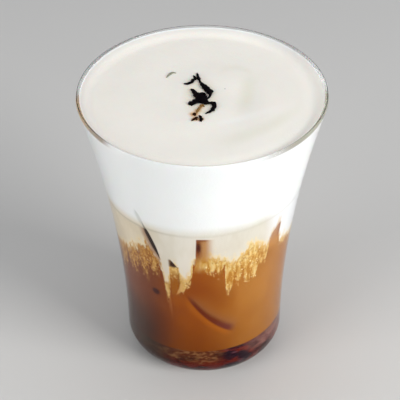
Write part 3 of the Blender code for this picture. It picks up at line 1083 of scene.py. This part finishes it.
def flared_glass_nodes(look):
    """The glass as seven turned bands: foot, heel, flare, lip, bore, inner heel and floor."""
    tree = Shaping("flared_glass", (
        ("Height", "Float", GLASS_HEIGHT),
        ("Rim Radius", "Float", RIM_RADIUS),
        ("Heel Radius", "Float", HEEL_RADIUS),
        ("Heel Round", "Float", HEEL_ROUND),
        ("Flare Power", "Float", FLARE_POWER),
        ("Wall", "Float", WALL),
        ("Floor Height", "Float", FLOOR_HEIGHT),
        ("Inner Round", "Float", INNER_ROUND),
        ("Segments", "Int", GLASS_SEGMENTS),
    ))
    height, rim = tree.given("Height"), tree.given("Rim Radius")
    heel, heel_round = tree.given("Heel Radius"), tree.given("Heel Round")
    wall, floor = tree.given("Wall"), tree.given("Floor Height")
    inner_round = tree.given("Inner Round")
    quarter = math.pi / 2.0
    lip = wall * 0.5
    lip_height = height - lip
    inner_top = floor + inner_round

    def flare(z):
        share = (z - heel_round) / (height - heel_round)
        return heel + (rim - heel) * share.most(0.0) ** tree.given("Flare Power")

    def foot_band(t):
        return (heel - heel_round) * t, t * 0.0

    def heel_band(t):
        angle = t * quarter
        return heel - heel_round + heel_round * angle.sum("SINE"), heel_round * (1.0 - angle.sum("COSINE"))

    def flare_band(t):
        z = heel_round + (lip_height - heel_round) * t
        return flare(z), z

    def lip_band(t):
        angle = t * math.pi
        return flare(lip_height) - lip + lip * angle.sum("COSINE"), lip_height + lip * angle.sum("SINE")

    def bore_band(t):
        z = lip_height + (inner_top - lip_height) * t
        return flare(z) - wall, z

    def inner_heel_band(t):
        angle = t * quarter
        return (
            flare(inner_top) - wall - inner_round * (1.0 - angle.sum("COSINE")),
            inner_top - inner_round * angle.sum("SINE"),
        )

    def floor_band(t):
        return (flare(inner_top) - wall - inner_round) * (1.0 - t), floor + t * 0.0

    bands = (
        (2, foot_band), (12, heel_band), (44, flare_band), (10, lip_band),
        (44, bore_band), (10, inner_heel_band), (2, floor_band),
    )
    joined = tree.node("GeometryNodeJoinGeometry")
    for rows, band in bands:
        tree.feed(joined.socket.node.inputs[0], turned_strip(tree, rows, band))
    sealed = tree.node("GeometryNodeMergeByDistance", sockets={"Geometry": joined, "Distance": 0.00001})
    tree.finish(sealed, look)
    return tree


def make_glass(look):
    base = bpy.data.meshes.new("flared_glass_base")
    return grown("flared_glass", flared_glass_nodes(look), base, {"Segments": GLASS_SEGMENTS})


# The froth's bubbles, scattered by geometry nodes

def bubble_nodes(look):
    """Small bubbles of mixed size over a band of the wall, denser where its mark says so."""
    tree = Shaping("froth_bubbles", (
        ("Geometry", "Geometry", None),
        ("Spacing", "Float", 0.0007),
        ("Smallest", "Float", 0.00012),
        ("Largest", "Float", 0.00038),
        ("Seed", "Int", 7),
    ))
    thick = tree.node("GeometryNodeInputNamedAttribute", {"data_type": "FLOAT"}, {"Name": "froth"})
    spots = tree.node(
        "GeometryNodeDistributePointsOnFaces", {"distribute_method": "POISSON"},
        {"Mesh": tree.given("Geometry"), "Distance Min": tree.given("Spacing"), "Density Max": 9.0e5,
         "Density Factor": thick, "Seed": tree.given("Seed")},
    )
    size = tree.node(
        "FunctionNodeRandomValue", {"data_type": "FLOAT"},
        {2: 0.0, 3: 1.0, "Seed": tree.given("Seed")}, output=1,
    )
    radius = tree.given("Smallest") + (tree.given("Largest") - tree.given("Smallest")) * size ** 2.5
    ball = tree.node("GeometryNodeMeshIcoSphere", sockets={"Radius": 1.0, "Subdivisions": 2})
    beads = tree.node(
        "GeometryNodeInstanceOnPoints",
        sockets={"Points": spots, "Instance": ball, "Scale": tree.point(radius, radius, radius)},
    )
    tree.finish(beads, look)
    return tree


def make_bubbles(edges, look):
    """A band of the wall from just under the cream's edge to the froth line carries the bubbles."""
    points, faces, froth = [], [], []
    for angle, edge in zip(angles(), edges):
        line = max(froth_line(angle, edge) / 1000.0, edge + BAND_LEAST)
        for share in steps(0.0, 1.0, BAND_ROWS):
            points.append(on_wall(angle, edge - BAND_DROP + (line - edge) * share))
            froth.append(0.75 * (1.0 - share) ** 0.7 + 0.05)
    for column in range(DRINK_SEGMENTS):
        here, there = column * BAND_ROWS, (column + 1) % DRINK_SEGMENTS * BAND_ROWS
        for row in range(BAND_ROWS - 1):
            faces.append((here + row, there + row, there + row + 1, here + row + 1))
    band = bpy.data.meshes.new("froth_band")
    band.from_pydata(points, [], faces)
    band.attributes.new("froth", "FLOAT", "POINT").data.foreach_set("value", froth)
    return grown("froth_bubbles", bubble_nodes(look), band, {})


# The leaves

def curve_through(points, count):
    """count points on a smooth curve through a few given ones."""
    ends = [points[0] * 2.0 - points[1]] + points + [points[-1] * 2.0 - points[-2]]
    found = []
    for share in steps(0.0, len(points) - 1.0, count):
        part = min(int(share), len(points) - 2)
        t = share - part
        a, b, c, d = ends[part : part + 4]
        found.append(
            0.5 * ((2.0 * b) + (c - a) * t + (2.0 * a - 5.0 * b + 4.0 * c - d) * t * t
                   + (3.0 * b - a - 3.0 * c + d) * t**3)
        )
    return found


def leaf_strip(route, width, thickness, turn=0.0, seed=0.0):
    """The rings of a rolled, wrinkled strip of leaf lying on the foam, tapering at both ends."""
    stations = 10 + 12 * len(route)
    spine = curve_through([Vector((x / 1000.0, y / 1000.0, 0.0)) for x, y in route], stations)
    rings = []
    length = 0.0
    for i, point in enumerate(spine):
        share = i / (stations - 1)
        length += (point - spine[max(i - 1, 0)]).length * 1000.0
        along = (spine[min(i + 1, stations - 1)] - spine[max(i - 1, 0)]).normalized()
        across = Vector((-along.y, along.x, 0.0))
        fullness = math.sin(math.pi * min(max(share, 0.02), 0.98)) ** 0.55
        torn = noise.noise(Vector((length * 1.1, seed, 0.3)))
        torn += 0.6 * noise.noise(Vector((length * 2.8, seed, 4.0)))
        half_width = 0.5 * width * fullness * (1.0 + LEAF_TORN * torn)
        half_height = 0.5 * thickness * (0.3 + 0.7 * fullness)
        ground = foam_height(point.x, point.y)
        roll = turn * (share - 0.5)
        sway = across * (LEAF_SWAY * width * noise.noise(Vector((length * 0.9, seed, 9.0))))
        lift = 0.75 * half_height + abs(half_width * math.sin(roll))
        middle = Vector((point.x, point.y, ground + lift)) + sway
        loop = []
        for side in range(LEAF_SIDES):
            angle = math.tau * side / LEAF_SIDES
            around = Vector((math.cos(angle) * 1.3, math.sin(angle) * 1.3, 0.0))
            crease = noise.noise(around + Vector((seed, 0.0, length * 0.8)))
            ribs = noise.noise(around * 2.6 + Vector((0.0, seed, length * 0.35)))
            swell = 1.0 + LEAF_CREASES * crease + LEAF_RIBS * ribs
            wide = half_width * math.cos(angle) * (1.0 + 0.3 * crease + 0.15 * ribs)
            high = half_height * math.sin(angle) * swell
            loop.append(
                middle
                + across * (wide * math.cos(roll) - high * math.sin(roll))
                + Vector((0.0, 0.0, wide * math.sin(roll) + high * math.cos(roll)))
            )
        rings.append([middle] if i in (0, stations - 1) else loop)
    return rings


def make_leaf(name, look, strips):
    """One piece from several strips that cross each other."""
    solids = []
    for number, (route, width, thickness, turn) in enumerate(strips):
        solids.append(leaf_strip(route, width, thickness, turn, seed=number * 2.3 + len(name)))
    return skin(name, solids, look, cut_angle=70.0)


def upper_leaf_strips():
    return (
        (((-1.0, 11.2), (0.2, 8.5), (1.5, 6.2), (2.6, 4.4), (2.9, 2.6), (2.6, 1.6)), 0.0020, 0.0012, 0.4),
        (((-6.6, 9.7), (-5.2, 9.2), (-3.9, 10.2), (-2.7, 12.2), (-1.5, 13.4)), 0.0012, 0.0010, 0.2),
        (((-1.8, 16.8), (-1.5, 14.2), (-1.0, 11.8), (0.2, 8.8)), 0.0010, 0.0008, 0.0),
        (((-3.2, 15.2), (-2.5, 13.4), (-1.6, 12.6)), 0.0007, 0.0006, 0.0),
        (((2.3, 4.9), (3.2, 5.0), (4.2, 4.9)), 0.0006, 0.0005, 0.0),
        (((0.5, 7.8), (1.5, 7.6), (2.0, 7.9)), 0.0006, 0.0005, 0.0),
        (((2.9, 2.6), (2.6, 1.0), (1.6, 0.0), (0.9, 0.4)), 0.0008, 0.0007, 0.0),
        (((0.2, 3.2), (0.9, 2.6), (1.5, 1.8)), 0.0009, 0.0008, 0.0),
    )


def knot_strips():
    return (
        (((-2.8, 3.6), (-1.7, 1.9), (-0.7, 0.2), (0.5, -1.7), (1.2, -3.2)), 0.0034, 0.0015, 0.3),
        (((-4.1, 6.2), (-3.2, 4.6), (-2.3, 3.0), (-1.2, 1.2)), 0.0014, 0.0011, 0.0),
        (((-2.2, 2.2), (-0.8, 2.4), (0.3, 3.1), (1.0, 2.4)), 0.0013, 0.0012, 0.0),
        (((-5.1, -2.7), (-4.1, -3.0), (-3.0, -2.6), (-1.5, -1.3), (0.4, -0.8)), 0.0022, 0.0013, 0.2),
        (((-4.7, -1.5), (-3.6, -2.0), (-2.4, -1.4)), 0.0008, 0.0007, 0.0),
        (((-4.0, -4.1), (-3.4, -3.4), (-2.6, -2.4)), 0.0008, 0.0007, 0.0),
        (((-2.6, -1.4), (-0.4, -1.4), (1.4, -2.6), (2.9, -3.3)), 0.0024, 0.0013, 0.2),
        (((1.2, -2.2), (2.6, -3.0), (3.8, -3.4), (4.3, -4.9), (3.9, -6.6), (2.9, -8.2), (1.0, -9.5)),
         0.0017, 0.0011, 0.4),
        (((3.0, -2.2), (3.7, -3.0), (4.1, -4.2)), 0.0009, 0.0008, 0.0),
    )


def dress(*rows):
    """Each piece stands for its node, which is hidden, and rides with the body."""
    for piece, node, slot in rows:
        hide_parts(node)
        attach(piece, "root")


def make_leaves(black, stalk, crumb, pale):
    upper = make_leaf("upper_leaf", black, upper_leaf_strips())
    knot = make_leaf("leaf_knot", black, knot_strips())
    stem = make_leaf("pale_stalk", stalk, (
        (((0.2, -3.7), (-0.5, -4.9), (-1.2, -6.4), (-1.8, -7.9), (-2.3, -9.4)), 0.0009, 0.0007, 0.0),
        (((-1.0, -4.2), (-0.1, -4.0), (0.8, -4.9)), 0.0011, 0.0007, 0.0),
    ))
    left_crumb = make_leaf("left_crumb", crumb, (
        (((-1.6, -11.4), (-2.6, -12.4), (-3.9, -13.7)), 0.0009, 0.0008, 0.0),
        (((-2.2, -13.4), (-2.0, -12.4), (-2.4, -11.4)), 0.0006, 0.0007, 0.0),
        (((-3.5, -9.3), (-2.9, -9.8), (-2.3, -10.3)), 0.0012, 0.0011, 0.0),
    ))
    right_crumb = make_leaf("right_crumb", black, (
        (((-1.4, -10.6), (-0.8, -11.2), (-0.6, -12.6), (-0.9, -14.1)), 0.0010, 0.0009, 0.0),
        (((0.1, -12.2), (-0.3, -13.0), (-0.5, -14.2)), 0.0008, 0.0008, 0.0),
    ))
    sliver = make_leaf("pale_sliver", pale, (
        (((-12.9, 13.9), (-12.0, 15.6), (-10.7, 17.1), (-9.3, 16.9)), 0.0008, 0.0005, 0.0),
    ))
    dress(
        (upper, "leaf_upper", "black_leaf"),
        (knot, "leaf_cluster", "black_leaf"),
        (stem, "leaf_stalk", "brown_leaf"),
        (left_crumb, "leaf_bit_left", "brown_leaf"),
        (right_crumb, "leaf_bit_right", "black_leaf"),
        (sliver, "leaf_sliver", "pale_leaf"),
    )


# Camera, floor and light

def add_camera():
    forward = Vector((0.0, math.cos(CAMERA_PITCH), -math.sin(CAMERA_PITCH)))
    up = Vector((0.0, math.sin(CAMERA_PITCH), math.cos(CAMERA_PITCH)))
    right = Vector((1.0, 0.0, 0.0))
    middle = Vector((0.0, 0.0, GLASS_HEIGHT / 2.0))
    data = bpy.data.cameras.new("camera")
    data.lens = CAMERA_LENS
    data.sensor_width = CAMERA_SENSOR
    camera = put("camera", data)
    camera.location = middle - forward * CAMERA_DISTANCE + right * CAMERA_SIDEWAYS + up * CAMERA_LIFT
    turned = forward.to_track_quat("-Z", "Y").to_matrix()
    rolled = turned.to_4x4() @ Matrix.Rotation(-CAMERA_ROLL, 4, "Z")
    camera.rotation_euler = rolled.to_euler()
    bpy.context.scene.camera = camera


def add_floor(look):
    mesh = bpy.data.meshes.new("floor")
    corners = [(x * FLOOR_HALF, y * FLOOR_HALF, -FLOOR_GAP) for x, y in ((-1, -1), (1, -1), (1, 1), (-1, 1))]
    mesh.from_pydata(corners, [], [(0, 1, 2, 3)])
    mesh.materials.append(look)
    put("floor", mesh)


def add_lamp(name, place, size, power, tint):
    """A square soft lamp aimed at the middle of the drink."""
    data = bpy.data.lights.new(name, "AREA")
    data.size = size
    data.energy = power
    data.color = tint
    lamp = put(name, data)
    lamp.location = place
    aim = Vector(LAMP_AIM) - Vector(place)
    lamp.rotation_euler = aim.to_track_quat("-Z", "Y").to_euler()


def add_light():
    world = bpy.data.worlds.new("studio")
    world.use_nodes = True
    backdrop = world.node_tree.nodes["Background"]
    backdrop.inputs["Color"].default_value = STUDIO_COLOUR
    backdrop.inputs["Strength"].default_value = STUDIO_STRENGTH
    bpy.context.scene.world = world
    for lamp in LAMPS:
        add_lamp(*lamp)
    bpy.context.scene.view_settings.view_transform = "Standard"


def main():
    drips, tongues = back_drips()
    drips, tongues = list(FRONT_DRIPS) + drips, list(FRONT_TONGUES) + tongues
    edges = [cream_edge(angle, drips, tongues) for angle in angles()]
    dress(
        (make_glass(glass_finish()), "glass", "clear_glass"),
        (make_foam(foam_finish()), "milk_foam", "milk_foam"),
        (make_cream(edges, cream_finish()), "cream_layer", "cream"),
        (make_tea(edges, tea_finish()), "tea", "milk_tea"),
        (make_syrup(syrup_finish()), "dark_base_layer", "dark_layer"),
    )
    bubbles = make_bubbles(edges, bubble_finish())
    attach(bubbles, "root")
    make_leaves(
        leaf_finish("black_leaf", (5, 3, 6), (26, 18, 15), 0.5),
        leaf_finish("tan_stalk", (132, 100, 56), (196, 164, 116), 0.6),
        leaf_finish("brown_crumb", (34, 14, 6), (110, 62, 24), 0.5),
        leaf_finish("pale_leaf", (138, 140, 122), (176, 176, 156), 0.6),
    )
    add_camera()
    add_floor(floor_finish())
    add_light()


main()
